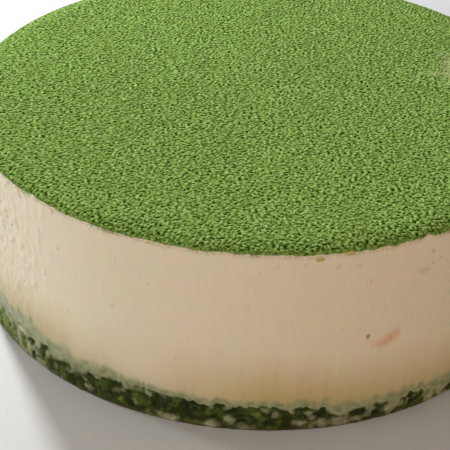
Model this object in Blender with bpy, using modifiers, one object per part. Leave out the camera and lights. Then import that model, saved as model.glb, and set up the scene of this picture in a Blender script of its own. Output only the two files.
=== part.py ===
"""A matcha tiramisu cake, as it is turned out of a 15 cm ring.

It is three layers that run right through the cake: a soaked matcha sponge at the foot, a set
mascarpone cream, and sifted matcha that caps the cream and rolls over its rim.

Lengths are in metres and +Z is up. The origin is the middle of the foot, on the surface that the cake
stands on. The front of the cake faces -Y.
"""

import math

import bmesh
import bpy
from mathutils import Vector, noise

MM = 0.001

# Driving sizes
RING_RADIUS = 75.0 * MM  # inside of the ring that the cake set in
RING_HEIGHT = 50.0 * MM  # the ring is filled level with cream
CAKE_HEIGHT = RING_HEIGHT + 1.0 * MM  # from the foot to the top of the powder
SPONGE_HEIGHT = 7.6 * MM  # of the seam between sponge and cream, on average
POWDER_THICKNESS = 1.2 * MM
LAYER_GAP = 0.3 * MM  # kept free between two layers

# The seam between sponge and cream climbs towards -X, and is ragged at the side of the cake
SEAM_TILT = 2.4 * MM
SEAM_SWELL = 0.7 * MM
SEAM_SWELL_SPACING = 17.0 * MM
SEAM_RAG = 0.9 * MM
SEAM_RAG_SPACING = 4.5 * MM
SEAM_LEVEL_RADIUS = 62.0 * MM  # inside this radius the seam is level

# Side of the sponge: it swells a little past the ring, and crumb came away with the ring
FOOT_BEVEL = 0.9 * MM
SPONGE_BULGE = 0.35 * MM
CRUMB_SPACING = 3.6 * MM
CRUMB_DEPTH = 1.9 * MM
HOLLOW_SPACING = 9.0 * MM
HOLLOW_DEPTH = 1.0 * MM
WHOLE_EDGE = 1.6 * MM  # crumb right under the seam is held by the cream

# Side of the cream
CREAM_WAVE = 0.22 * MM
CREAM_WAVE_SPACING = 14.0 * MM
STRAIGHT_FOOT = 0.3  # share of its height over which the wave sets in

# Powder: its rim is rounded, and it ends in a ragged hem on the side of the cream
RIM_ROUND = 1.4 * MM
RIM_STEPS = 2
HEM_DROP = 1.9 * MM  # of the hem below the top
HEM_THICKNESS = 0.5 * MM
HEM_WANDER = 0.25 * MM
HEM_WANDER_SPACING = 5.0 * MM
SHOULDER = 1.6 * MM  # the cream's edge is cut back by this much under the powder
CLUMP_HEIGHT = 0.3 * MM
CLUMP_SPACING = 5.5 * MM
POWDER_SWELL = 0.25 * MM
POWDER_SWELL_SPACING = 24.0 * MM

# Fineness of the solids
SPONGE_ROWS = 7
CREAM_ROWS = 5
POWDER_RINGS = 22
AROUND = 8 * POWDER_RINGS  # steps round the cake
NEAR = 0.1 * MM  # what lies this close to the side of the ring belongs to the side
MERGE = 0.01 * MM
SHARP_EDGE = math.radians(50.0)

# Colour and roughness of each layer
SPONGE_LOOK = ((0.055, 0.075, 0.015), 0.85)
CREAM_LOOK = ((0.72, 0.60, 0.44), 0.45)
POWDER_LOOK = ((0.19, 0.31, 0.065), 0.95)


def clear_scene():
    for old in list(bpy.data.objects):
        bpy.data.objects.remove(old)


def food_material(name, look):
    colour, roughness = look
    material = bpy.data.materials.new(name)
    material.use_nodes = True
    surface = material.node_tree.nodes["Principled BSDF"]
    surface.inputs["Base Color"].default_value = (*colour, 1.0)
    surface.inputs["Roughness"].default_value = roughness
    surface.inputs["Metallic"].default_value = 0.0
    return material


def smooth_step(low, high, value):
    share = min(max((value - low) / (high - low), 0.0), 1.0)
    return share * share * (3.0 - 2.0 * share)


def swell(point, spacing, seed):
    """Smooth noise from about -1 to 1, with lumps about `spacing` apart."""
    return noise.noise(Vector(point) / spacing + Vector((seed, 0.0, -seed)))


def on_ring(angle):
    return (RING_RADIUS * math.cos(angle), RING_RADIUS * math.sin(angle), 0.0)


def seam_height(x, y):
    """Height of the seam between sponge and cream above a point of the foot."""
    angle = math.atan2(y, x)
    at_side = (
        SPONGE_HEIGHT
        - SEAM_TILT * math.cos(angle)
        + SEAM_SWELL * swell(on_ring(angle), SEAM_SWELL_SPACING, 3.1)
        + SEAM_RAG * swell(on_ring(angle), SEAM_RAG_SPACING, 8.7)
    )
    share = smooth_step(SEAM_LEVEL_RADIUS, RING_RADIUS, math.hypot(x, y))
    return SPONGE_HEIGHT + share * (at_side - SPONGE_HEIGHT)


def straight_side(top, bottom, rows):
    """Points of a profile that run down the side of the ring."""
    return [(RING_RADIUS, top + (bottom - top) * row / rows) for row in range(rows + 1)]


def turned(name, profile):
    """A mesh turned about Z from (radius, height) points that run down the outer side."""
    points = [(radius, 0.0, height) for radius, height in profile]
    edges = [(i, i + 1) for i in range(len(points) - 1)]
    outline = bpy.data.meshes.new(name + "_profile")
    outline.from_pydata(points, edges, [])
    guide = bpy.data.objects.new(name + "_profile", outline)
    bpy.context.scene.collection.objects.link(guide)
    screw = guide.modifiers.new("Turn", "SCREW")
    screw.axis = "Z"
    screw.angle = 2.0 * math.pi
    screw.steps = AROUND
    screw.render_steps = AROUND
    screw.use_merge_vertices = True
    screw.merge_threshold = MERGE
    graph = bpy.context.evaluated_depsgraph_get()
    mesh = bpy.data.meshes.new_from_object(guide.evaluated_get(graph))
    bpy.data.objects.remove(guide)
    mesh.name = name
    return mesh


def pushed_out(point, distance):
    """A point on the side moved away from the cake's axis."""
    radius = math.hypot(point.x, point.y)
    scale = (radius + distance) / radius
    return Vector((point.x * scale, point.y * scale, point.z))


def is_on_side(point):
    return math.hypot(point.x, point.y) > RING_RADIUS - NEAR


def sponge_mesh():
    """A level slab whose top is the seam, with crumb torn out of its side."""
    mesh = turned("sponge_base", [
        (0.0, SPONGE_HEIGHT),
        (SEAM_LEVEL_RADIUS, SPONGE_HEIGHT),
        *straight_side(SPONGE_HEIGHT, FOOT_BEVEL, SPONGE_ROWS),
        (RING_RADIUS - FOOT_BEVEL, 0.0),
        (0.0, 0.0),
    ])
    for vertex in mesh.vertices:
        seam = seam_height(vertex.co.x, vertex.co.y)
        vertex.co.z *= seam / SPONGE_HEIGHT
        if is_on_side(vertex.co):
            crumb = max(0.0, swell(vertex.co, CRUMB_SPACING, 1.7) + 0.15)
            hollow = max(0.0, swell(vertex.co, HOLLOW_SPACING, 5.2))
            depth = CRUMB_DEPTH * crumb + HOLLOW_DEPTH * hollow
            free = smooth_step(0.0, WHOLE_EDGE, seam - vertex.co.z)
            vertex.co = pushed_out(vertex.co, free * (SPONGE_BULGE - depth))
    return mesh


def cream_mesh():
    """A smooth-sided drum that sits on the seam, with its edge cut back under the powder."""
    top = CAKE_HEIGHT - POWDER_THICKNESS - LAYER_GAP
    shoulder = CAKE_HEIGHT - HEM_DROP - HEM_WANDER - LAYER_GAP
    mesh = turned("mascarpone_cream", [
        (0.0, top),
        (RING_RADIUS - SHOULDER - LAYER_GAP, top),
        (RING_RADIUS - HEM_THICKNESS - LAYER_GAP, shoulder),
        *straight_side(shoulder, SPONGE_HEIGHT, CREAM_ROWS),
        (SEAM_LEVEL_RADIUS, SPONGE_HEIGHT),
        (0.0, SPONGE_HEIGHT),
    ])
    for vertex in mesh.vertices:
        share = min(1.0, (vertex.co.z - SPONGE_HEIGHT) / (shoulder - SPONGE_HEIGHT))
        lift = seam_height(vertex.co.x, vertex.co.y) + LAYER_GAP - SPONGE_HEIGHT
        vertex.co.z += lift * (1.0 - share)
        if is_on_side(vertex.co):
            wave = CREAM_WAVE * swell(vertex.co, CREAM_WAVE_SPACING, 2.4)
            vertex.co = pushed_out(vertex.co, wave * smooth_step(0.0, STRAIGHT_FOOT, share))
    return mesh


def opened_to_disc(x, y):
    """A point of the square from -1 to 1, moved so that nested squares become nested circles."""
    ring = max(abs(x), abs(y))
    if ring == 0.0:
        return 0.0, 0.0
    if abs(x) >= abs(y):
        angle = math.pi / 4.0 * y / x + (math.pi if x < 0.0 else 0.0)
    else:
        angle = math.pi / 2.0 - math.pi / 4.0 * x / y + (math.pi if y < 0.0 else 0.0)
    return ring * math.cos(angle), ring * math.sin(angle)


def powder_height(x, y):
    """Height of the uneven top of the powder above a point of the foot."""
    clump = CLUMP_HEIGHT * abs(swell((x, y, 0.0), CLUMP_SPACING, 6.3))
    slow = POWDER_SWELL * swell((x, y, 0.0), POWDER_SWELL_SPACING, 4.8)
    return CAKE_HEIGHT - CLUMP_HEIGHT + clump + slow


def hem_height(angle):
    return CAKE_HEIGHT - HEM_DROP + HEM_WANDER * swell(on_ring(angle), HEM_WANDER_SPACING, 7.5)


def extend_rim(bm, rim, radius, height):
    """Carries an open rim on to a new ring, at a height that may change with the angle."""
    added = bmesh.ops.extrude_edge_only(bm, edges=rim)["geom"]
    for vertex in (part for part in added if isinstance(part, bmesh.types.BMVert)):
        angle = math.atan2(vertex.co.y, vertex.co.x)
        vertex.co = (radius * math.cos(angle), radius * math.sin(angle), height(angle))
    return [part for part in added if isinstance(part, bmesh.types.BMEdge)]


def powder_mesh():
    """An uneven disc, carried over a rounded rim to its hem and back to a level underside."""
    bm = bmesh.new()
    bmesh.ops.create_grid(bm, x_segments=2 * POWDER_RINGS, y_segments=2 * POWDER_RINGS, size=1.0)
    for vertex in bm.verts:
        x, y = opened_to_disc(vertex.co.x, vertex.co.y)
        x *= RING_RADIUS - RIM_ROUND
        y *= RING_RADIUS - RIM_ROUND
        vertex.co = (x, y, powder_height(x, y))

    rim = [edge for edge in bm.edges if edge.is_boundary]
    rim_centre = CAKE_HEIGHT - CLUMP_HEIGHT - RIM_ROUND
    for step in range(1, RIM_STEPS + 1):
        lean = math.pi / 2.0 * step / RIM_STEPS
        radius = RING_RADIUS - RIM_ROUND * (1.0 - math.sin(lean))
        height = rim_centre + RIM_ROUND * math.cos(lean)
        rim = extend_rim(bm, rim, radius, lambda angle: height)
    rim = extend_rim(bm, rim, RING_RADIUS, hem_height)
    rim = extend_rim(bm, rim, RING_RADIUS - HEM_THICKNESS, hem_height)
    underside = CAKE_HEIGHT - POWDER_THICKNESS
    rim = extend_rim(bm, rim, RING_RADIUS - SHOULDER, lambda angle: underside)
    bmesh.ops.holes_fill(bm, edges=rim, sides=0)

    bmesh.ops.recalc_face_normals(bm, faces=bm.faces)
    mesh = bpy.data.meshes.new("matcha_powder")
    bm.to_mesh(mesh)
    bm.free()
    return mesh


def add_layer(cake, mesh, material):
    """Puts a layer in the cake. Its quads are split at their shorter diagonal, so that the two faces
    that meet at the seam are split alike."""
    layer = bpy.data.objects.new(mesh.name, mesh)
    cake.objects.link(layer)
    mesh.materials.append(material)
    mesh.shade_smooth()
    mesh.set_sharp_from_angle(angle=SHARP_EDGE)
    split = layer.modifiers.new("Split quads", "TRIANGULATE")
    split.quad_method = "SHORTEST_DIAGONAL"


def main():
    clear_scene()
    cake = bpy.data.collections.new("matcha_tiramisu_cake")
    bpy.context.scene.collection.children.link(cake)
    add_layer(cake, sponge_mesh(), food_material("soaked matcha sponge", SPONGE_LOOK))
    add_layer(cake, cream_mesh(), food_material("set mascarpone cream", CREAM_LOOK))
    add_layer(cake, powder_mesh(), food_material("sifted matcha", POWDER_LOOK))


main()
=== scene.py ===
"""Looks of a matcha tiramisu cake: sifted green tea powder on set mascarpone cream, on a soaked sponge.

Laid out as a Blender add-on, with one operator for each piece of the cake and one for the stage.
Lengths are in metres, +Z is up, and the front of the cake faces -Y. Places on the side of the cake are
given in degrees from the front, to the right, and in height above the foot.
"""

import math
import random

import bmesh
import bpy
from bpy.props import FloatProperty, FloatVectorProperty, IntProperty, PointerProperty
from mathutils import Matrix, Vector, kdtree, noise


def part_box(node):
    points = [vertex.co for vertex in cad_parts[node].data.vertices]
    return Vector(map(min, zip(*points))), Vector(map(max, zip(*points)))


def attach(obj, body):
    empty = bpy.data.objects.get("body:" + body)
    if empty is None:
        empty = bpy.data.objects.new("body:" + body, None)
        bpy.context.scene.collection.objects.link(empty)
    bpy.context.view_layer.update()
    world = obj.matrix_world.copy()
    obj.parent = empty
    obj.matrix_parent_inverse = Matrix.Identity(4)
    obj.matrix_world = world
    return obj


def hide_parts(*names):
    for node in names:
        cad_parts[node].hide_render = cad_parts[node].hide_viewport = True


bl_info = {
    "name": "Matcha tiramisu cake",
    "version": (1, 0, 0),
    "blender": (4, 5, 0),
    "location": "View3D > Sidebar > Tiramisu",
    "description": "Builds the powder, cream and sponge of a round matcha tiramisu cake",
    "category": "Add Mesh",
}

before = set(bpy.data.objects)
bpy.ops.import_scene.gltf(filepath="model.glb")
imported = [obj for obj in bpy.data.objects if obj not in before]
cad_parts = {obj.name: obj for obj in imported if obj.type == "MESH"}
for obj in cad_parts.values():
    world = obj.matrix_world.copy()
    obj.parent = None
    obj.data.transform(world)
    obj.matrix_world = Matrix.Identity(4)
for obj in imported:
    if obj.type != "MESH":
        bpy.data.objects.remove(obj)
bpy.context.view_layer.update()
MM = 0.001

# Sizes of the whole cake
RING_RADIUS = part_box("matcha_powder")[1].x
CAKE_TOP = 51.0 * MM

# Profile of the powder, from the middle of the top to its hem on the side
POWDER_TOP = CAKE_TOP - 0.25 * MM
SHOULDER_FALL = 0.75 * MM  # the top falls off ever more steeply towards the rim
SHOULDER_WIDTH = 5.5 * MM
RIM_LEAN = math.atan(2.0 * SHOULDER_FALL / SHOULDER_WIDTH)
RIM_ROUND = 0.9 * MM
RIM_CENTRE = POWDER_TOP - SHOULDER_FALL - RIM_ROUND * math.cos(RIM_LEAN)  # height of the rounding's centre
FLAT_RUN = RING_RADIUS - RIM_ROUND * (1.0 - math.sin(RIM_LEAN))  # way out to the rounded rim
RIM_RUN = RIM_ROUND * (math.pi / 2.0 - RIM_LEAN)  # way over the rim
HEM = 49.2 * MM
POWDER_FLOOR = 49.55 * MM  # level underside
POWDER_SHELF = 1.6 * MM  # the underside ends this far inside the hem

# Relief of the powder
TO_RIDGES = Matrix.Rotation(math.radians(-14.0), 3, "Z")  # they lie 14 degrees from +X
RIDGE_STRETCH = (0.78, 1.15)  # how closely the noise is packed along and across the ridges
CLUMP_LEVEL = 0.6  # relief that lies on the profile
FLAT_LEVEL = 0.42  # relief that thin powder and the rim are drawn towards; on the rim its darker colour is painted shade
DRIFTS = ((3.0 * MM, 0.07 * MM), (11.0 * MM, 0.1 * MM))  # spacing and height of low drifts
THIN_DROP = 0.2 * MM  # thin powder lies this much lower
SECTORS = 8
SECTOR_RINGS = 430
NEAR_HEM = 0.9  # from this share of the way out, the rings follow the ragged hem

# Places where the hem is torn upwards: degrees, height, half width in degrees
HEM_NOTCHES = (
    (-41.5, 0.7 * MM, 1.1),
    (-48.8, 0.3 * MM, 0.8),
    (30.2, 1.0 * MM, 1.2),
    (-1.0, 0.3 * MM, 0.6),
)

# Where the powder is thin and cream shows, in mm: x, y, half sizes along x and y; strength
THIN_SPOTS = (
    (53.5, 14.8, 6.0, 9.0, 1.0),
    (49.6, 23.5, 2.4, 2.4, 0.35),
    (46.6, 12.0, 3.6, 2.0, 0.45),
    (43.5, 12.3, 1.1, 1.6, 0.4),
    (40.1, 8.1, 1.2, 1.6, 0.35),
    (36.7, 12.4, 1.3, 1.8, 0.2),
    (48.2, 6.4, 2.0, 2.2, 0.35),
    (43.6, -33.6, 0.45, 0.9, 0.9),
    (44.5, -35.6, 0.35, 0.5, 0.6),
)

# No thin spot reaches left of, in front of or behind these, in mm
THIN_LEFT = 34.0
THIN_FRONT = -38.0
THIN_BACK = 28.0

# Lower edge of the cream, where the sponge shows under it: degrees from the front, height in mm
SEAM = (
    (-180.0, 7.3),
    (-120.0, 8.4),
    (-80.0, 8.8),
    (-52.0, 8.3),
    (-44.0, 8.1),
    (-36.0, 8.2),
    (-30.0, 6.9),
    (-24.0, 7.6),
    (-19.0, 8.2),
    (-14.0, 7.4),
    (-5.0, 7.3),
    (5.0, 7.1),
    (11.0, 6.7),
    (15.0, 5.4),
    (21.0, 4.8),
    (30.0, 5.0),
    (37.0, 4.4),
    (70.0, 4.6),
    (110.0, 5.5),
    (150.0, 6.6),
    (180.0, 7.3),
)

# How much the film of cream spreads over the sponge: degrees from the front, share added to its noise
SPREAD = (
    (-180.0, 0.05),
    (-70.0, 0.1),
    (-50.0, 0.35),
    (-38.0, 0.2),
    (-32.0, -0.1),
    (-26.0, -0.25),
    (-12.0, -0.45),
    (8.0, -0.45),
    (14.0, -0.1),
    (17.0, 0.1),
    (19.7, -0.35),
    (22.5, 0.35),
    (25.0, -0.2),
    (27.0, 0.4),
    (30.5, 0.1),
    (33.3, -0.2),
    (36.5, 0.4),
    (60.0, 0.05),
    (180.0, 0.05),
)

# The film, which the sponge has stained grey-green: its darker and its paler parts
FILM_SHADES = ("#898f6a", "#a7aa86")

# How far the film of cream reaches up from the seam: degrees from the front, height in mm
FILM_REACH = (
    (-180.0, 2.2),
    (-70.0, 2.6),
    (-46.0, 3.8),
    (-38.0, 2.8),
    (-29.0, 3.0),
    (-20.0, 1.7),
    (-8.0, 1.6),
    (3.0, 1.6),
    (10.0, 2.0),
    (18.0, 2.6),
    (26.0, 2.0),
    (33.0, 2.3),
    (60.0, 2.2),
    (180.0, 2.2),
)

# How strongly painted bounce light makes the foot of the cream yellower and darker: degrees from the front,
# share
FOOT_BOUNCE = (
    (-180.0, 0.8),
    (-60.0, 0.9),
    (-40.0, 0.9),
    (-30.0, 0.45),
    (-20.0, 0.2),
    (-8.0, 0.7),
    (4.0, 1.0),
    (18.0, 1.0),
    (28.0, 0.85),
    (180.0, 0.8),
)
FOOT_BOUNCE_REACH = 19.0 * MM  # above the seam

# Both layers beside the seam
SEAM_LEVEL = 7.6 * MM  # of the seam inside the cake
SEAM_INSET = 4.0 * MM  # the seam reaches its level this far in
MAX_STAND = 0.3 * MM  # the ring let nothing stand out further than this
CREAM_TOP = POWDER_FLOOR - 0.05 * MM
CREAM_SHOULDER = 0.7 * MM  # the upper edge of the cream is rounded over this height
SPONGE_FOOT = 0.35 * MM  # bevel round the foot
STEPS = 1080
CREAM_ROWS = 60
SPONGE_ROWS = 15

FAR_FROM_FILM = 10.0  # for the top and the underside of the cream, in film heights above the seam

# Pits in the cream
PIT_DEPTH = 0.7  # share of the radius, in a pit that is fully dark
PIT_STRETCH = 0.7  # pits are longer down the side than along it
PIT_SEARCH = 1.0 * MM  # a pit changes nothing further away than this

# Pits that show well: degrees, height, radius, how dark
NAMED_PITS = (
    (20.7, 25.3 * MM, 0.65 * MM, 0.9),
    (29.0, 40.9 * MM, 0.7 * MM, 0.12),
    (29.5, 40.4 * MM, 0.7 * MM, 0.16),
    (30.1, 40.1 * MM, 0.8 * MM, 0.2),
    (30.8, 40.1 * MM, 0.7 * MM, 0.18),
    (31.3, 40.4 * MM, 0.6 * MM, 0.12),
    (31.6, 44.9 * MM, 0.55 * MM, 0.35),
    (33.5, 42.6 * MM, 0.5 * MM, 0.3),
    (31.9, 41.6 * MM, 0.5 * MM, 0.4),
    (4.3, 46.2 * MM, 0.5 * MM, 0.2),
    (8.6, 46.5 * MM, 0.6 * MM, 0.15),
    (14.2, 45.6 * MM, 0.7 * MM, 0.18),
    (17.9, 45.2 * MM, 0.6 * MM, 0.16),
    (22.4, 46.8 * MM, 0.6 * MM, 0.14),
    (-35.5, 38.6 * MM, 0.6 * MM, 0.3),
    (-36.4, 47.9 * MM, 0.7 * MM, 0.35),
)

# Blots of the reddish smear on the cream: degrees, height, radius, strength
BLUSH = (
    (22.1, 22.8 * MM, 1.3 * MM, 0.35),
    (23.1, 22.9 * MM, 1.6 * MM, 0.65),
    (24.1, 23.2 * MM, 1.8 * MM, 0.8),
    (25.1, 23.9 * MM, 1.9 * MM, 0.9),
    (25.9, 24.8 * MM, 1.4 * MM, 0.75),
    (26.3, 25.8 * MM, 1.0 * MM, 0.35),
)

# Dabs of cream pressed into the foot of the sponge: degrees, height, half width, half height, how pale
DABS = (
    (-0.3, 1.3 * MM, 2.6 * MM, 0.9 * MM, 0.35),
    (3.6, 6.4 * MM, 1.2 * MM, 0.8 * MM, 0.4),
    (5.2, 4.7 * MM, 0.9 * MM, 1.0 * MM, 0.55),
    (9.4, 2.2 * MM, 1.9 * MM, 0.9 * MM, 0.5),
    (11.3, 4.8 * MM, 1.1 * MM, 0.9 * MM, 0.6),
    (11.8, 3.3 * MM, 0.8 * MM, 0.9 * MM, 0.55),
    (13.4, 1.7 * MM, 2.6 * MM, 1.4 * MM, 0.4),
    (16.5, 1.5 * MM, 2.7 * MM, 1.3 * MM, 0.6),
    (19.6, 1.6 * MM, 1.4 * MM, 0.8 * MM, 0.35),
    (26.3, 2.3 * MM, 1.7 * MM, 1.1 * MM, 0.5),
    (29.0, 2.6 * MM, 1.2 * MM, 0.9 * MM, 0.35),
    (-2.8, 2.9 * MM, 1.3 * MM, 1.4 * MM, 0.55),
    (-5.9, 1.2 * MM, 1.9 * MM, 1.1 * MM, 0.6),
    (-13.9, 1.3 * MM, 2.4 * MM, 1.1 * MM, 0.7),
    (-30.0, 2.1 * MM, 1.3 * MM, 1.0 * MM, 0.6),
    (-47.8, 6.8 * MM, 1.8 * MM, 1.1 * MM, 1.0),
    (-49.6, 3.0 * MM, 1.1 * MM, 1.0 * MM, 0.7),
    (-46.4, 4.0 * MM, 1.3 * MM, 1.0 * MM, 0.6),
    (60.0, 1.6 * MM, 2.8 * MM, 1.1 * MM, 0.7),
    (95.0, 2.2 * MM, 2.0 * MM, 1.2 * MM, 0.6),
    (128.0, 1.4 * MM, 2.6 * MM, 1.1 * MM, 0.8),
    (171.0, 1.8 * MM, 3.0 * MM, 1.2 * MM, 0.7),
    (-75.0, 3.4 * MM, 1.6 * MM, 1.0 * MM, 0.6),
    (-101.0, 1.5 * MM, 2.4 * MM, 1.1 * MM, 0.8),
    (-139.0, 2.6 * MM, 1.8 * MM, 1.1 * MM, 0.6),
)

# Specks of caramel under the hem: degrees, height, half width
CARAMEL = ((10.9, 48.1 * MM, 1.1 * MM), (15.9, 48.8 * MM, 0.9 * MM))

# Lights round the cake: name, degrees, elevation, distance and size in metres, watts, colour
LIGHTS = (
    ("window", -146.0, 24.0, 0.6, 0.08, 5.1, (1.0, 1.0, 1.0)),
    ("side_window", -110.0, 22.0, 0.9, 0.12, 2.4, (1.0, 1.0, 0.97)),
    ("left_wall", -60.0, 25.0, 0.9, 0.8, 2.25, (0.98, 1.0, 0.92)),
    ("room", 25.0, 30.0, 0.9, 0.9, 2.57, (1.0, 0.7, 0.43)),
)
LIGHTS_AIM = Vector((0.0, 0.0, 30.0 * MM))  # they face this place and stand at their distance from it
ROOM_COLOUR = (1.0, 0.95, 0.9, 1.0)
ROOM_STRENGTH = 0.2
FLOOR_REACH = 4.0  # from its middle to each edge

# Camera: a 100 mm lens that looks down at the front of the cake
CAMERA_PLACE = Vector((0.0, -289.92, 197.37)) * MM
CAMERA_DOWN = math.radians(33.259)
CAMERA_TURN = math.radians(-1.608)
CAMERA_ROLL = math.radians(1.875)
CAMERA_LENS = 100.0


def rgb(hex_colour):
    """An sRGB hex colour as the linear numbers that Blender's sockets and properties take."""
    levels = [int(hex_colour[i : i + 2], 16) / 255.0 for i in (1, 3, 5)]
    return tuple(c / 12.92 if c <= 0.04045 else ((c + 0.055) / 1.055) ** 2.4 for c in levels)


def length_property(name, description, default):
    return FloatProperty(name=name, description=description, default=default, unit="LENGTH", precision=5)


def colour_property(name, description, hex_colour):
    return FloatVectorProperty(
        name=name,
        description=description,
        default=rgb(hex_colour),
        subtype="COLOR",
        size=3,
        min=0.0,
        max=1.0,
    )


class PowderSettings(bpy.types.PropertyGroup):
    """Sifted matcha on the top"""

    colour: colour_property("Colour", "Matcha on the clumps", "#90b35a")
    # Painted shade: this dark green in the gaps between clumps stands for the shade that falls there.
    pit_shade_colour: colour_property("Pit colour", "Matcha in the pits between clumps", "#1c4004")
    clump_spacing: length_property("Clump spacing", "Size of the clumps of powder", 0.6 * MM)
    clump_height: length_property("Clump height", "How far clumps stand above the pits", 0.32 * MM)
    hem_wander: length_property("Hem wander", "How ragged the lower edge of the powder is", 0.38 * MM)


class CreamSettings(bpy.types.PropertyGroup):
    """Set mascarpone cream"""

    colour: colour_property("Colour", "Set cream", "#f0e4cd")
    ripple: length_property("Ripple", "Height of the ripples that the ring left", 0.24 * MM)
    pinholes: IntProperty(name="Pinholes", description="Air bubbles cut by the ring", default=300, min=0)
    beads: IntProperty(name="Beads", description="Drops of cream left by the ring", default=110, min=0)


class SpongeSettings(bpy.types.PropertyGroup):
    """Soaked matcha sponge"""

    colour: colour_property("Colour", "Soaked crumb", "#2d380f")
    # Paler crumb, and a painted highlight on the lumps of the crumb.
    pale_crumb_and_highlight_colour: colour_property("Light colour", "Drier crumb that stands out", "#4b5a1f")
    crag_depth: length_property("Crag depth", "Depth of the gaps in the crumb", 0.8 * MM)
    crumbs: IntProperty(name="Crumbs", description="Loose crumbs on the side", default=260, min=0)


def smooth_step(low, high, value):
    share = min(max((value - low) / (high - low), 0.0), 1.0)
    return share * share * (3.0 - 2.0 * share)


def swell(point, spacing, seed=0.0):
    """Smooth noise from about -1 to 1, with lumps about `spacing` apart."""
    return noise.noise(point / spacing + Vector((seed, 0.0, -seed)))


def on_ring(angle, height=0.0, radius=RING_RADIUS):
    return Vector((radius * math.cos(angle), radius * math.sin(angle), height))


def ring_angle(degrees):
    """Angle about +Z of a place given in degrees from the front."""
    return math.radians(degrees - 90.0)


def from_front(angle):
    """Degrees from the front, from -180 to 180, of an angle about +Z."""
    return (math.degrees(angle) + 270.0) % 360.0 - 180.0


def unrolled(angle, height):
    """A place of the side on the side laid flat, with the front in the middle."""
    return Vector((RING_RADIUS * math.radians(from_front(angle)), height, 0.0))


def on_side_laid_flat(rows):
    """Rows of (degrees from the front, height, ...) as rows of (place on the side laid flat, ...)."""
    return [(unrolled(ring_angle(degrees), height), *rest) for degrees, height, *rest in rows]


def along(table, degrees):
    """Value at an angle in a table of (degrees from the front, value) rows."""
    for (before, low), (after, high) in zip(table, table[1:]):
        if degrees <= after:
            break
    return low + (high - low) * smooth_step(before, after, degrees)


def seam_height(angle):
    """Height of the ragged lower edge of the cream."""
    level = along(SEAM, from_front(angle))
    place = on_ring(angle)
    tooth = swell(place, 1.9 * MM, 5.0) + 0.5 * swell(place, 0.8 * MM, 2.0)
    tooth = math.copysign(abs(tooth) ** 0.6, tooth)
    return (level + 0.7 * swell(place, 4.3 * MM, 8.7) + 0.75 * tooth) * MM


def add_node(tree, kind, inputs=None, links=None, **settings):
    """Adds a node with its settings, its input values and its links, by input name or number."""
    node = tree.nodes.new(kind)
    for key, value in settings.items():
        setattr(node, key, value)
    for key, value in (inputs or {}).items():
        node.inputs[key].default_value = value
    for key, output in (links or {}).items():
        tree.links.new(output, node.inputs[key])
    return node


def attribute(tree, name):
    """The value that a layer of the mesh gives at each place."""
    return add_node(tree, "ShaderNodeAttribute", attribute_name=name).outputs["Fac"]


def object_place(tree):
    return add_node(tree, "ShaderNodeTexCoord").outputs["Object"]


def add_math(tree, operation, first, second, third=None):
    """Adds a Math node. An input is a number or an output of a node."""
    inputs = {}
    links = {}
    for number, value in enumerate((first, second, third)):
        if isinstance(value, bpy.types.NodeSocket):
            links[number] = value
        elif value is not None:
            inputs[number] = value
    return add_node(tree, "ShaderNodeMath", inputs, links, operation=operation).outputs["Value"]


def add_ramp(tree, factor, stops):
    """Adds a colour ramp with (position, colour) stops."""
    ramp = add_node(tree, "ShaderNodeValToRGB", links={"Fac": factor})
    elements = ramp.color_ramp.elements
    while len(elements) < len(stops):
        elements.new(0.5)
    for element, (position, colour) in zip(elements, stops):
        element.position = position
        element.color = (*colour, 1.0)
    return ramp.outputs["Color"]


def mix_colours(tree, factor, first, second, blend="MIX"):
    """Mixes a linked colour with a plain or a linked one."""
    mix = add_node(tree, "ShaderNodeMix", data_type="RGBA", blend_type=blend)
    tree.links.new(factor, mix.inputs[0])
    tree.links.new(first, mix.inputs[6])
    if isinstance(second, bpy.types.NodeSocket):
        tree.links.new(second, mix.inputs[7])
    else:
        mix.inputs[7].default_value = (*second, 1.0)
    return mix.outputs[2]


def remap(tree, value, low, high, to_low, to_high):
    """Maps a value from one range to another, with a soft start and end."""
    inputs = {"From Min": low, "From Max": high, "To Min": to_low, "To Max": to_high}
    links = {"Value": value}
    node = add_node(tree, "ShaderNodeMapRange", inputs, links, interpolation_type="SMOOTHSTEP")
    return node.outputs["Result"]


def new_material(name, roughness, specular):
    material = bpy.data.materials.new(name)
    material.use_nodes = True
    surface = material.node_tree.nodes["Principled BSDF"]
    surface.inputs["Roughness"].default_value = roughness
    surface.inputs["Specular IOR Level"].default_value = specular
    return material, material.node_tree, surface


def add_grain(tree, place, size, **inputs):
    """Noise whose lumps are `size` across, at a place."""
    noise_inputs = {"Scale": 1.0 / size, **inputs}
    return add_node(tree, "ShaderNodeTexNoise", noise_inputs, {"Vector": place}).outputs["Fac"]


def add_bump(tree, surface, height, strength, distance):
    inputs = {"Strength": strength, "Distance": distance}
    bump = add_node(tree, "ShaderNodeBump", inputs, {"Height": height})
    tree.links.new(bump.outputs["Normal"], surface.inputs["Normal"])


def cream_film(tree, place):
    """Colour of the film of cream over the seam, which is the same on both sides of it."""
    patches = add_grain(tree, place, 1.6 * MM, Detail=3.0)
    return add_ramp(tree, patches, [(0.35, rgb(FILM_SHADES[0])), (0.6, rgb(FILM_SHADES[1]))])


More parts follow.
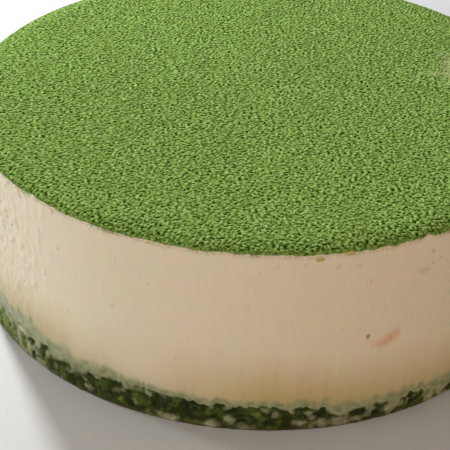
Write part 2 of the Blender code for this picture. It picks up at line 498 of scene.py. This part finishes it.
def sifted_matcha(settings):
    """Matcha is dry leaf, stone-ground to dust and dropped through a sieve. The dust is quite matt and
    clings together in clumps. Painted highlight makes the tops of the clumps pale, and painted shade
    makes the gaps between them deep green."""
    material, tree, surface = new_material("sifted matcha", 0.95, 0.0)
    place = object_place(tree)
    relief = attribute(tree, "relief")
    # The relief ramp paints shade deep green into the pits and a pale highlight onto the highest clumps.
    stops = [(0.15, settings.pit_shade_colour), (0.6, settings.colour), (1.0, rgb("#aecd8a"))]
    powder = add_ramp(tree, relief, stops)
    drift = add_grain(tree, place, 8.0 * MM, Detail=2.0)
    powder = mix_colours(tree, remap(tree, drift, 0.45, 0.75, 0.0, 0.15), powder, rgb("#7f8f3c"))
    powder = mix_colours(tree, attribute(tree, "thin"), powder, rgb("#b3bf88"))
    tree.links.new(powder, surface.inputs["Base Color"])
    dust = add_grain(tree, place, 0.16 * MM, Detail=3.0)
    add_bump(tree, surface, dust, 0.6, 0.08 * MM)
    return material


def set_cream(settings):
    """Mascarpone whipped with egg and set cold against a ring: satin, with faint streaks down it, and
    light enters it a little way. Towards the seam it is painted yellower and darker, as painted bounce
    light, and next to the sponge it is a film, stained grey-green. Its beads are given a painted highlight."""
    material, tree, surface = new_material("set mascarpone cream", 0.34, 0.45)
    place = object_place(tree)
    pit = attribute(tree, "pit")
    reach = attribute(tree, "film_reach")
    tint = add_grain(tree, place, 5.5 * MM, Detail=2.0)
    tints = [(0.34, rgb("#f0e2cf")), (0.5, settings.colour), (0.66, rgb("#eee5cc"))]
    cream = add_ramp(tree, tint, tints)
    drawn = add_node(tree, "ShaderNodeMapping", {"Scale": (1.0, 1.0, 0.35)}, {"Vector": place})
    streak = add_grain(tree, drawn.outputs["Vector"], 1.3 * MM, Detail=1.0)
    cream = mix_colours(tree, remap(tree, streak, 0.52, 0.76, 0.0, 0.09), cream, rgb("#d8c6a2"))
    # Painted bounce light: the layer named soaked makes the cream yellower and darker towards the seam.
    cream = mix_colours(tree, attribute(tree, "soaked"), cream, rgb("#dccea2"), "MULTIPLY")
    cream = mix_colours(tree, pit, cream, rgb("#b08c4a"))
    # Painted highlight: the beads, whose pit value is below zero, are given a paler cream colour.
    bead = add_math(tree, "MULTIPLY", pit, -0.5)
    cream = mix_colours(tree, bead, cream, rgb("#fbf4e8"))
    cream = mix_colours(tree, attribute(tree, "blush"), cream, rgb("#e5ae7d"))
    haze = remap(tree, reach, 0.8, 3.4, 0.22, 0.0)
    cream = mix_colours(tree, haze, cream, rgb("#a9a97d"))
    rag = add_grain(tree, place, 3.0 * MM, Detail=3.0, Roughness=0.5)
    film = remap(tree, add_math(tree, "MULTIPLY_ADD", rag, 1.6, reach), 1.25, 2.35, 1.0, 0.0)
    cream = mix_colours(tree, film, cream, cream_film(tree, place))
    speckle = remap(tree, add_grain(tree, place, 0.5 * MM, Detail=2.0), 0.38, 0.6, 0.15, 0.95)
    dust = add_math(tree, "MULTIPLY", attribute(tree, "dusted"), speckle)
    cream = mix_colours(tree, dust, cream, rgb("#84853f"))
    tree.links.new(cream, surface.inputs["Base Color"])
    surface.inputs["Subsurface Weight"].default_value = 0.5
    surface.inputs["Subsurface Radius"].default_value = (1.0, 0.55, 0.3)
    surface.inputs["Subsurface Scale"].default_value = 1.2 * MM
    fine = add_grain(tree, place, 0.9 * MM, Detail=3.0)
    add_bump(tree, surface, fine, 0.25, 0.08 * MM)
    return material


def soaked_sponge(settings):
    """Sponge baked with matcha and soaked in syrup: dark, moist crumb with paler, drier points, a brown
    baked skin at the foot, and smears of cream where the ring was filled. Painted shade darkens the gaps
    of the crumb and painted highlight lightens its lumps. Painted light makes it paler on the left side,
    and painted shade keeps it darker on the right."""
    material, tree, surface = new_material("soaked matcha sponge", 0.7, 0.2)
    place = object_place(tree)
    mottle = add_grain(tree, place, 2.0 * MM, Detail=3.0, Roughness=0.55)
    tone = add_math(tree, "MULTIPLY_ADD", attribute(tree, "relief"), 0.4, mottle)
    # Through the relief, the ramp paints shade into the gaps of the crumb and a highlight onto its lumps;
    # the mottle is the crumb's own uneven tone.
    stops = [(0.5, rgb("#1d230d")), (0.75, settings.colour), (0.95, settings.pale_crumb_and_highlight_colour)]
    crumb = add_ramp(tree, tone, stops)
    # Paler crumb, which is partly drier crumb and partly painted light on the left side.
    dry_and_lit_crumb = add_ramp(tree, mottle, [(0.35, rgb("#4b5c1c")), (0.6, rgb("#84974a"))])
    crumb = mix_colours(tree, attribute(tree, "dry"), crumb, dry_and_lit_crumb)
    crumb = mix_colours(tree, attribute(tree, "skin"), crumb, rgb("#51462b"))
    crumb = mix_colours(tree, attribute(tree, "smear"), crumb, cream_film(tree, place))
    cream = add_ramp(tree, mottle, [(0.35, rgb("#9a9a78")), (0.62, rgb("#cdcaae"))])
    crumb = mix_colours(tree, attribute(tree, "dab"), crumb, cream)
    tree.links.new(crumb, surface.inputs["Base Color"])
    add_bump(tree, surface, mottle, 0.5, 0.25 * MM)
    return material


def caramel_sugar():
    """Specks of burnt sugar: moist, with a soft shine, and amber against the cream."""
    material, _, surface = new_material("caramel", 0.35, 0.5)
    surface.inputs["Base Color"].default_value = (*rgb("#cbb163"), 1.0)
    return material


def studio_floor():
    """A pale, slightly grey floor with a dull sheen, on which the shadow of the cake is soft and plain."""
    material, _, surface = new_material("pale studio floor", 0.6, 0.4)
    surface.inputs["Base Color"].default_value = (*rgb("#c3c6cb"), 1.0)
    return material


def new_layers(bm, *names):
    """Adds layers that hold a number at each vertex, for the materials to read."""
    return [bm.verts.layers.float.new(name) for name in names]


def place_piece(bm, name, material, slot, *nodes):
    """Makes a piece of the cake from a bmesh. It stands for the given nodes."""
    mesh = bpy.data.meshes.new(name)
    bm.to_mesh(mesh)
    bm.free()
    mesh.shade_smooth()
    mesh.materials.append(material)
    piece = bpy.data.objects.new(name, mesh)
    bpy.context.scene.collection.objects.link(piece)
    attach(piece, "root")
    if nodes:
        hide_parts(*nodes)


def powder_relief(place, spacing):
    """Height of the powder, from 0 in a pit to 1 on a clump, at a place on the powder laid flat. The
    clumps lie in short ridges, most of them the same way."""
    turned = TO_RIDGES @ place
    place = Vector((RIDGE_STRETCH[0] * turned.x, RIDGE_STRETCH[1] * turned.y, 0.0))
    pushed = Vector((swell(place, spacing, 11.0), swell(place, spacing, 12.0), 0.0))
    spot = place + 0.35 * spacing * pushed
    clump = 0.7 * swell(spot, spacing, 1.0)
    crossed = Vector((0.8 * spot.x - 0.6 * spot.y, 0.6 * spot.x + 0.8 * spot.y, 0.0))
    crease = 0.7 * abs(swell(crossed, 1.1 * spacing, 3.0)) - 0.17
    grain = 0.25 * swell(place, 0.45 * spacing, 2.0)
    return min(1.15, max(-0.2, 0.5 + clump + crease + grain))


def thinness(place):
    """How thin the powder is, from 0 to 1."""
    x = place.x / MM
    y = place.y / MM
    if x < THIN_LEFT or y < THIN_FRONT or y > THIN_BACK:
        return 0.0
    thin = 0.0
    ragged = 0.3 * swell(place, 2.6 * MM, 4.0) + 0.15 * swell(place, 1.1 * MM, 6.0)
    for spot_x, spot_y, half_x, half_y, strength in THIN_SPOTS:
        away = math.hypot((x - spot_x) / half_x, (y - spot_y) / half_y)
        thin = max(thin, strength * smooth_step(1.4, 0.1, away + ragged))
    return thin


def hem_height(angle, wander):
    place = on_ring(angle)
    ragged = swell(place, 4.2 * MM, 7.5) + 0.6 * swell(place, 1.3 * MM, 1.5) + 0.4 * swell(place, 0.5 * MM)
    degrees = from_front(angle)
    torn = sum(
        height * max(0.0, 1.0 - abs(degrees - middle) / half) for middle, height, half in HEM_NOTCHES
    )
    return HEM + wander * ragged + torn


def powder_profile(run):
    """Radius, height and lean of the powder without its relief, `run` out from the middle of the top."""
    if run <= FLAT_RUN:
        fall = max(0.0, 1.0 - (FLAT_RUN - run) / SHOULDER_WIDTH)
        return run, POWDER_TOP - SHOULDER_FALL * fall**2, RIM_LEAN * fall
    if run <= FLAT_RUN + RIM_RUN:
        lean = RIM_LEAN + (run - FLAT_RUN) / RIM_ROUND
        radius = RING_RADIUS - RIM_ROUND * (1.0 - math.sin(lean))
        return radius, RIM_CENTRE + RIM_ROUND * math.cos(lean), lean
    return RING_RADIUS, RIM_CENTRE - (run - FLAT_RUN - RIM_RUN), math.pi / 2.0


def powder_sector(sector, settings):
    """One sector of the powder, closed below. A triangle of the grid is bent to it: its x runs from the
    middle of the top, over the rim, to the hem on the side, and its y, as a share of x, round the cake."""
    turn = 2.0 * math.pi / SECTORS
    bm = bmesh.new()
    relief_layer, thin_layer = new_layers(bm, "relief", "thin")
    bmesh.ops.create_grid(bm, x_segments=SECTOR_RINGS, y_segments=SECTOR_RINGS, size=0.5)
    bmesh.ops.translate(bm, verts=bm.verts, vec=(0.5, 0.5, 0.0))
    bmesh.ops.bisect_plane(
        bm,
        geom=[*bm.verts, *bm.edges, *bm.faces],
        dist=0.01 / SECTOR_RINGS,
        plane_co=(0.0, 0.0, 0.0),
        plane_no=(-1.0, 1.0, 0.0),
        clear_outer=True,
    )
    hems = {}
    for vertex in bm.verts:
        share = vertex.co.x
        part = vertex.co.y / share if share > 0.0 else 0.0
        angle = turn * (sector + part)
        drop = RIM_CENTRE - HEM
        if share > NEAR_HEM:
            key = round(part * 100000)
            if key not in hems:
                hems[key] = RIM_CENTRE - hem_height(angle, settings.hem_wander)
            drop = hems[key]
        run = share * (FLAT_RUN + RIM_RUN + drop)
        radius, height, lean = powder_profile(run)
        place = on_ring(angle, height, radius)
        outward = on_ring(angle, math.cos(lean), math.sin(lean))
        level = powder_relief(on_ring(angle, 0.0, run), settings.clump_spacing)
        brink = smooth_step(FLAT_RUN - 1.0 * MM, FLAT_RUN + RIM_RUN, run)
        bare = smooth_step(-0.1, 0.6, swell(place, 2.6 * MM, 8.0))
        bare *= smooth_step(FLAT_RUN + 0.3 * RIM_RUN, FLAT_RUN + RIM_RUN + 0.3 * MM, run)
        thin = max(thinness(place), 0.5 * bare)
        calm = (1.0 - 0.6 * thin) * (1.0 - 0.6 * brink)
        tall = settings.clump_height * (level - CLUMP_LEVEL) * calm - THIN_DROP * thin
        tall += sum(rise * swell(place, spacing, 4.0) for spacing, rise in DRIFTS)
        vertex.co = place + outward * tall
        level -= 0.1 * smooth_step(FLAT_RUN - 3.5 * MM, FLAT_RUN + RIM_RUN, run)  # painted shade: a darker rim
        # On the rim, drawing the relief towards FLAT_LEVEL darkens it further as painted shade.
        vertex[relief_layer] = level + (FLAT_LEVEL - level) * 0.5 * max(brink, thin)
        vertex[thin_layer] = thin
    border = [edge for edge in bm.edges if edge.is_boundary]
    for edge in border:
        edge.smooth = False
    added = bmesh.ops.extrude_edge_only(bm, edges=border)["geom"]
    for vertex in (part for part in added if isinstance(part, bmesh.types.BMVert)):
        radius = math.hypot(vertex.co.x, vertex.co.y)
        scale = min(1.0, (RING_RADIUS - POWDER_SHELF) / radius) if radius else 1.0
        vertex.co = (vertex.co.x * scale, vertex.co.y * scale, POWDER_FLOOR)
    bmesh.ops.holes_fill(bm, edges=[edge for edge in bm.edges if edge.is_boundary], sides=0)
    return bm


class TIRAMISU_OT_powder(bpy.types.Operator):
    """Sift the matcha powder over the top"""

    bl_idname = "tiramisu.powder"
    bl_label = "Matcha powder"

    def execute(self, context):
        settings = context.scene.tiramisu_powder
        material = sifted_matcha(settings)
        for sector in range(SECTORS):
            bm = powder_sector(sector, settings)
            place_piece(bm, f"matcha_powder_{sector + 1}", material, "powder", "matcha_powder")
        return {"FINISHED"}


def spun(profile):
    """A closed body turned about Z from (radius, height) points that run from the top to the foot."""
    bm = bmesh.new()
    line = [bm.verts.new((radius, 0.0, height)) for radius, height in profile]
    edges = [bm.edges.new(pair) for pair in zip(line, line[1:])]
    bmesh.ops.spin(
        bm,
        geom=line + edges,
        axis=(0.0, 0.0, 1.0),
        cent=(0.0, 0.0, 0.0),
        steps=STEPS,
        angle=2.0 * math.pi,
        use_merge=True,
    )
    bmesh.ops.remove_doubles(bm, verts=bm.verts, dist=0.001 * MM)
    bmesh.ops.recalc_face_normals(bm, faces=bm.faces)
    for edge in bm.edges:
        edge.smooth = edge.calc_face_angle() < math.radians(60.0)
    return bm


def seam_line(ripple):
    """Height and stand of the seam at each step around the cake. Both layers follow it."""
    line = []
    for step in range(STEPS):
        angle = 2.0 * math.pi * step / STEPS
        height = seam_height(angle)
        line.append((height, cream_ripple(angle, height, ripple)))
    return line


def on_seam(line, angle):
    """Height and stand of the seam at an angle, straight between its steps."""
    place = angle / (2.0 * math.pi) * STEPS
    step = math.floor(place)
    before = Vector(line[step % STEPS])
    return before.lerp(Vector(line[(step + 1) % STEPS]), place - step)


def is_side(point):
    return math.hypot(point.x, point.y) > RING_RADIUS - 0.05 * MM


def scattered_pits(count, beads):
    """Pits and beads as (place on the side laid flat, radius, how dark). A bead is the contrary of a pit,
    so its last number is below zero."""
    draw = random.Random(4)
    pits = list(NAMED_PITS)
    for _ in range(count):
        height = draw.uniform(11.0, 48.0) * MM
        radius = draw.triangular(0.18, 0.48, 0.22) * MM
        pits.append((draw.uniform(-180.0, 180.0), height, radius, draw.uniform(0.1, 0.35)))
    for _ in range(beads):
        height = draw.uniform(19.0, 48.0) * MM
        radius = draw.triangular(0.3, 0.65, 0.4) * MM
        pits.append((draw.triangular(-100.0, -37.0, -55.0), height, radius, draw.uniform(-0.9, -0.3)))
    return on_side_laid_flat(pits)


def cream_ripple(angle, height, ripple):
    """How far the side of the cream stands out, from ripples that run down it."""
    degrees = from_front(angle)
    place = on_ring(angle, height)
    drawn = on_ring(angle, height / 4.0)  # stretches the noise down the side
    # Drips lie at the left, more of them higher up, and in patches round the sides and the back
    rough = smooth_step(-34.0, -50.0, degrees) * smooth_step(-105.0, -80.0, degrees)
    rough *= 0.25 + 0.75 * smooth_step(10.0 * MM, 26.0 * MM, height)
    if abs(degrees) > 60.0:
        rough = max(rough, 0.6 * smooth_step(0.1, 0.6, swell(place, 40.0 * MM, 3.0)))
    drips = max(0.0, swell(on_ring(angle, height / 1.3), 1.6 * MM, 6.0) - 0.12)
    drips += 0.7 * max(0.0, swell(on_ring(angle, height / 1.2), 1.0 * MM, 3.0) - 0.12)
    streak = 0.15 * swell(drawn, 1.5 * MM, 9.0)
    slow = 0.12 * MM * swell(place, 16.0 * MM, 2.0)
    return min(MAX_STAND, slow + ripple * (streak + 4.5 * rough * (drips - 0.2)))


def pit_finder(pits):
    """A finder of the pits near a place of the side laid flat."""
    finder = kdtree.KDTree(len(pits))
    for index, pit in enumerate(pits):
        finder.insert(pit[0], index)
    finder.balance()
    return finder


def refine_round_pits(bm, pits, finder):
    """Divides the faces near the pits, so that these come out round."""
    near = set()
    for face in bm.faces:
        middle = face.calc_center_median()
        if math.hypot(middle.x, middle.y) > RING_RADIUS - 0.2 * MM:
            _, index, distance = finder.find(unrolled(math.atan2(middle.y, middle.x), middle.z))
            if distance < 1.3 * pits[index][1] + 0.3 * MM:
                near.update(face.edges)
    edges = [edge for edge in bm.edges if edge in near]  # in the order of the mesh
    bmesh.ops.subdivide_edges(bm, edges=edges, cuts=2, use_grid_fill=True)


def pit_at(flat, pits, finder):
    """Depth of the pits at a place of the side laid flat, and how dark they are there."""
    depth = 0.0
    dark = 0.0
    for place, index, _ in finder.find_range(flat, PIT_SEARCH):
        radius, strength = pits[index][1:]
        distance = math.hypot(flat.x - place.x, PIT_STRETCH * (flat.y - place.y))
        hollow = max(0.0, 1.0 - (distance / radius) ** 2)
        depth += PIT_DEPTH * strength * radius * hollow
        dark += strength * hollow
    return depth, dark


def blush_at(flat, blots):
    """How strongly the reddish smear colours a place of the side laid flat."""
    strength = 0.0
    for place, reach, full in blots:
        strength = max(strength, full * smooth_step(1.3, 0.2, (flat - place).length / reach))
    return strength * min(1.0, 0.85 + 0.4 * swell(flat, 1.1 * MM, 9.0)) if strength else 0.0


def cream_body(line):
    """The cream as a smooth body, with its lower edge on the seam."""
    shoulder = CREAM_TOP - CREAM_SHOULDER
    rows = [shoulder + (SEAM_LEVEL - shoulder) * row / CREAM_ROWS for row in range(CREAM_ROWS + 1)]
    bm = spun(
        [
            (0.0, CREAM_TOP),
            (RING_RADIUS - 1.0 * MM, CREAM_TOP),
            (RING_RADIUS - 0.3 * MM, CREAM_TOP - 0.2 * MM),
            *((RING_RADIUS, row) for row in rows),
            (RING_RADIUS - SEAM_INSET, SEAM_LEVEL),
            (0.0, SEAM_LEVEL),
        ]
    )
    for vertex in bm.verts:
        if is_side(vertex.co):
            share = min(1.0, (vertex.co.z - SEAM_LEVEL) / (shoulder - SEAM_LEVEL))
            seam = on_seam(line, math.atan2(vertex.co.y, vertex.co.x))[0]
            vertex.co.z += (seam - SEAM_LEVEL) * (1.0 - share)
    return bm


class TIRAMISU_OT_cream(bpy.types.Operator):
    """Set the mascarpone cream against its ring"""

    bl_idname = "tiramisu.cream"
    bl_label = "Mascarpone cream"

    def execute(self, context):
        settings = context.scene.tiramisu_cream
        hem_wander = context.scene.tiramisu_powder.hem_wander
        line = seam_line(settings.ripple)
        bm = cream_body(line)
        pits = scattered_pits(settings.pinholes, settings.beads)
        finder = pit_finder(pits)
        refine_round_pits(bm, pits, finder)
        pit_layer, foot_bounce_layer, dusted_layer, reach_layer, blush_layer = new_layers(
            bm, "pit", "soaked", "dusted", "film_reach", "blush"
        )
        blots = on_side_laid_flat(BLUSH)
        for vertex in bm.verts:
            vertex[reach_layer] = FAR_FROM_FILM
            if not is_side(vertex.co):
                continue
            angle = math.atan2(vertex.co.y, vertex.co.x)
            degrees = from_front(angle)
            height = vertex.co.z
            flat = unrolled(angle, height)
            depth, dark = pit_at(flat, pits, finder)
            ripple = cream_ripple(angle, height, settings.ripple)
            ripple *= smooth_step(0.0, 1.0 * MM, CREAM_TOP - height)
            vertex.co = on_ring(angle, height, RING_RADIUS + min(MAX_STAND, ripple - depth))
            vertex[pit_layer] = dark
            above = height - on_seam(line, angle)[0]
            # Painted bounce light, strongest at the seam and fading upwards.
            vertex[foot_bounce_layer] = along(FOOT_BOUNCE, degrees) * smooth_step(FOOT_BOUNCE_REACH, 0.0, above)
            vertex[reach_layer] = above / (along(FILM_REACH, degrees) * MM)
            below = hem_height(angle, hem_wander) - height
            heavy = smooth_step(-0.5, 0.4, swell(flat, 6.0 * MM, 5.0))
            vertex[dusted_layer] = (0.3 + 0.7 * heavy) * smooth_step(1.3 * MM, 0.0, below)
            vertex[blush_layer] = blush_at(flat, blots)
        place_piece(bm, "mascarpone_cream_set", set_cream(settings), "cream", "mascarpone_cream")
        return {"FINISHED"}


def crumb_relief(place):
    """Height of the crumb, from 0 in a gap to 1 on a lump."""
    pushed = Vector((swell(place, 2.2 * MM, 1.0), swell(place, 2.2 * MM, 2.0), swell(place, 2.2 * MM, 3.0)))
    spot = place + 0.9 * MM * pushed
    torn = 0.6 * swell(spot, 2.8 * MM, 4.0) + 0.35 * swell(spot, 1.4 * MM, 5.0)
    torn += 0.2 * swell(place, 0.8 * MM)
    return min(1.1, max(-0.1, 0.6 + torn))


def film_cover(place, degrees, share):
    """How much the film of cream covers the crumb, from 0 to 1."""
    patch = swell(place, 3.0 * MM, 7.0) + 0.4 * swell(place, 1.2 * MM, 8.0) + along(SPREAD, degrees)
    patch += 0.5 * smooth_step(0.6, 1.0, share) - 0.2 * smooth_step(0.6, 0.2, share)
    return 0.95 * smooth_step(0.0, 0.6, patch)


def dab_cover(flat, dabs):
    """How pale the dabs of cream make a place of the side laid flat, from 0 to 1."""
    cover = 0.0
    for place, half_width, half_height, pale in dabs:
        away = math.hypot((flat.x - place.x) / half_width, (flat.y - place.y) / half_height)
        if away < 2.0:
            away += 0.6 * swell(flat, 1.5 * MM, 6.0) + 0.25 * swell(flat, 0.6 * MM, 3.0)
            cover = max(cover, pale * smooth_step(1.4, 0.3, away))
    return cover


def sponge_body():
    """The sponge as a smooth body, with a level seam."""
    fall = SPONGE_FOOT - SEAM_LEVEL
    rows = [SEAM_LEVEL + fall * row / SPONGE_ROWS for row in range(SPONGE_ROWS + 1)]
    bm = spun(
        [
            (0.0, SEAM_LEVEL),
            (RING_RADIUS - SEAM_INSET, SEAM_LEVEL),
            *((RING_RADIUS, row) for row in rows),
            (RING_RADIUS - SPONGE_FOOT, 0.0),
            (0.0, 0.0),
        ]
    )
    side = [edge for edge in bm.edges if all(is_side(vertex.co) for vertex in edge.verts)]
    bmesh.ops.subdivide_edges(bm, edges=side, cuts=1, use_grid_fill=True)
    return bm


class TIRAMISU_OT_sponge(bpy.types.Operator):
    """Bake and soak the matcha sponge"""

    bl_idname = "tiramisu.sponge"
    bl_label = "Matcha sponge"

    def execute(self, context):
        settings = context.scene.tiramisu_sponge
        line = seam_line(context.scene.tiramisu_cream.ripple)
        bm = sponge_body()
        relief_layer, smear_layer, skin_layer, dab_layer, dry_and_lit_layer = new_layers(
            bm, "relief", "smear", "skin", "dab", "dry"
        )
        dabs = on_side_laid_flat(DABS)
        for vertex in bm.verts:
            vertex[relief_layer] = 0.5
            if not is_side(vertex.co):
                continue
            angle = math.atan2(vertex.co.y, vertex.co.x)
            degrees = from_front(angle)
            share = vertex.co.z / SEAM_LEVEL
            seam, stand = on_seam(line, angle)
            height = share * seam
            place = on_ring(angle, height)
            film = film_cover(place, degrees, share)
            dab = dab_cover(unrolled(angle, height), dabs)
            level = crumb_relief(place)
            level += (0.85 - level) * 0.7 * film  # cream fills the gaps of the crumb
            level += (1.0 - level) * 0.7 * dab
            pressed = 0.35 + 0.65 * smooth_step(0.0, 1.5 * MM, height)
            inward = settings.crag_depth * (1.0 - level) * pressed - 0.1 * MM
            flush = smooth_step(1.4 * MM, 0.0, seam - height)  # with the cream, at the seam
            inward += flush * (-stand - inward)
            vertex.co = on_ring(angle, height, RING_RADIUS - inward)
            vertex[relief_layer] = level
            vertex[smear_layer] = film
            vertex[dab_layer] = 0.9 * dab
            patch = swell(place, 5.0 * MM, 9.0) + 0.4 * swell(place, 1.5 * MM, 2.0)
            # Painted light and shade: paler crumb from 40 degrees left of the front round to the back, and
            # less of it right of 8 degrees; the noise patches are drier crumb.
            patch += 0.7 * smooth_step(-40.0, -52.0, degrees) - 0.4 * smooth_step(8.0, 16.0, degrees)
            vertex[dry_and_lit_layer] = 0.8 * smooth_step(0.25, 0.8, patch)
            skin = height + 0.5 * MM * swell(place, 2.0 * MM, 3.0)
            vertex[skin_layer] = 0.55 * smooth_step(1.1 * MM, 0.5 * MM, skin)
        place_piece(bm, "matcha_sponge_soaked", soaked_sponge(settings), "sponge", "sponge_base")
        return {"FINISHED"}


def add_lump(bm, place, size, draw, roughness):
    """Adds an uneven lump, with half sizes along the side, into the side and up."""
    made = bmesh.ops.create_icosphere(bm, subdivisions=2, radius=1.0)["verts"]
    seed = draw.uniform(0.0, 50.0)
    turn = Matrix.Rotation(math.atan2(place.y, place.x) + math.pi / 2.0, 3, "Z")
    for vertex in made:
        shaped = vertex.co * (1.0 + roughness * swell(vertex.co, 0.9, seed))
        shaped = turn @ Vector((shaped.x * size.x, shaped.y * size.y, shaped.z * size.z))
        vertex.co = place + shaped
        vertex.co.z = max(vertex.co.z, 0.0)
    return made


class TIRAMISU_OT_crumbs(bpy.types.Operator):
    """Scatter crumbs of sponge and specks of caramel on the side"""

    bl_idname = "tiramisu.crumbs"
    bl_label = "Crumbs and specks"

    def execute(self, context):
        draw = random.Random(11)
        sponge = context.scene.tiramisu_sponge
        bm = bmesh.new()
        relief_layer = new_layers(bm, "relief")[0]
        for _ in range(sponge.crumbs):
            angle = draw.uniform(-math.pi, math.pi)
            height = draw.uniform(0.1, 0.95) * seam_height(angle)
            size = draw.triangular(0.2, 0.5, 0.25) * MM
            place = on_ring(angle, max(height, size), RING_RADIUS - 0.3 * MM - 0.6 * size)
            tone = draw.uniform(0.0, 0.7)
            for vertex in add_lump(bm, place, Vector((1.3, 0.8, 1.0)) * size, draw, 0.6):
                vertex[relief_layer] = tone
        place_piece(bm, "sponge_crumbs", soaked_sponge(sponge), "sponge")

        bm = bmesh.new()
        for degrees, height, half_width in CARAMEL:
            size = Vector((half_width, 0.25 * MM, 0.7 * half_width))
            place = on_ring(ring_angle(degrees), height, RING_RADIUS - 0.15 * MM)
            add_lump(bm, place, size, draw, 0.5)
        place_piece(bm, "caramel_specks", caramel_sugar(), "cream")
        return {"FINISHED"}


def add_light(name, place, size, power, colour):
    """Adds a round light that faces the cake."""
    lamp = bpy.data.lights.new(name, "AREA")
    lamp.shape = "DISK"
    lamp.size = size
    lamp.energy = power
    lamp.color = colour
    light = bpy.data.objects.new(name, lamp)
    light.location = place
    light.rotation_euler = (LIGHTS_AIM - place).to_track_quat("-Z", "Y").to_euler()
    bpy.context.scene.collection.objects.link(light)


def towards(degrees, elevation):
    """Direction towards a place in the room, in degrees from the front, to the right."""
    angle = ring_angle(degrees)
    level = math.cos(math.radians(elevation))
    return Vector((math.cos(angle) * level, math.sin(angle) * level, math.sin(math.radians(elevation))))


def camera_matrix():
    """Where the camera stands and which way it is turned."""
    forward = Vector(
        (
            math.sin(CAMERA_TURN) * math.cos(CAMERA_DOWN),
            math.cos(CAMERA_TURN) * math.cos(CAMERA_DOWN),
            -math.sin(CAMERA_DOWN),
        )
    )
    level_right = Vector((math.cos(CAMERA_TURN), -math.sin(CAMERA_TURN), 0.0))
    level_up = level_right.cross(forward)
    right = math.cos(CAMERA_ROLL) * level_right + math.sin(CAMERA_ROLL) * level_up
    up = math.cos(CAMERA_ROLL) * level_up - math.sin(CAMERA_ROLL) * level_right
    aim = Matrix((right, up, -forward)).transposed().to_4x4()
    return Matrix.Translation(CAMERA_PLACE) @ aim


class TIRAMISU_OT_stage(bpy.types.Operator):
    """Lay the floor, and put up the lights and the camera"""

    bl_idname = "tiramisu.stage"
    bl_label = "Stage"

    def execute(self, context):
        scene = context.scene
        bm = bmesh.new()
        bmesh.ops.create_grid(bm, x_segments=2, y_segments=2, size=FLOOR_REACH)
        mesh = bpy.data.meshes.new("floor")
        bm.to_mesh(mesh)
        bm.free()
        mesh.materials.append(studio_floor())
        floor = bpy.data.objects.new("floor", mesh)
        scene.collection.objects.link(floor)

        for name, degrees, elevation, distance, size, power, colour in LIGHTS:
            place = LIGHTS_AIM + distance * towards(degrees, elevation)
            add_light(name, place, size, power, colour)

        world = bpy.data.worlds.new("soft studio")
        world.use_nodes = True
        background = world.node_tree.nodes["Background"]
        background.inputs["Color"].default_value = ROOM_COLOUR
        background.inputs["Strength"].default_value = ROOM_STRENGTH
        scene.world = world

        lens = bpy.data.cameras.new("camera")
        lens.lens = CAMERA_LENS
        lens.sensor_width = 36.0
        lens.clip_start = 0.01
        camera = bpy.data.objects.new("camera", lens)
        camera.matrix_world = camera_matrix()
        scene.collection.objects.link(camera)
        scene.camera = camera
        scene.view_settings.view_transform = "Standard"
        return {"FINISHED"}


class TIRAMISU_PT_cake(bpy.types.Panel):
    """Lists the pieces of the cake"""

    bl_idname = "TIRAMISU_PT_cake"
    bl_label = "Matcha tiramisu cake"
    bl_space_type = "VIEW_3D"
    bl_region_type = "UI"
    bl_category = "Tiramisu"

    def draw(self, context):
        for operator in OPERATORS:
            self.layout.operator(operator.bl_idname)


OPERATORS = (
    TIRAMISU_OT_powder,
    TIRAMISU_OT_cream,
    TIRAMISU_OT_sponge,
    TIRAMISU_OT_crumbs,
    TIRAMISU_OT_stage,
)
SETTINGS = {
    "tiramisu_powder": PowderSettings,
    "tiramisu_cream": CreamSettings,
    "tiramisu_sponge": SpongeSettings,
}


def register():
    for group in SETTINGS.values():
        bpy.utils.register_class(group)
    for operator in OPERATORS:
        bpy.utils.register_class(operator)
    bpy.utils.register_class(TIRAMISU_PT_cake)
    for name, group in SETTINGS.items():
        setattr(bpy.types.Scene, name, PointerProperty(type=group))


def unregister():
    for name in SETTINGS:
        delattr(bpy.types.Scene, name)
    bpy.utils.unregister_class(TIRAMISU_PT_cake)
    for operator in reversed(OPERATORS):
        bpy.utils.unregister_class(operator)
    for group in SETTINGS.values():
        bpy.utils.unregister_class(group)


def main():
    register()
    bpy.ops.tiramisu.powder()
    bpy.ops.tiramisu.cream()
    bpy.ops.tiramisu.sponge()
    bpy.ops.tiramisu.crumbs()
    bpy.ops.tiramisu.stage()


if __name__ == "__main__":
    main()
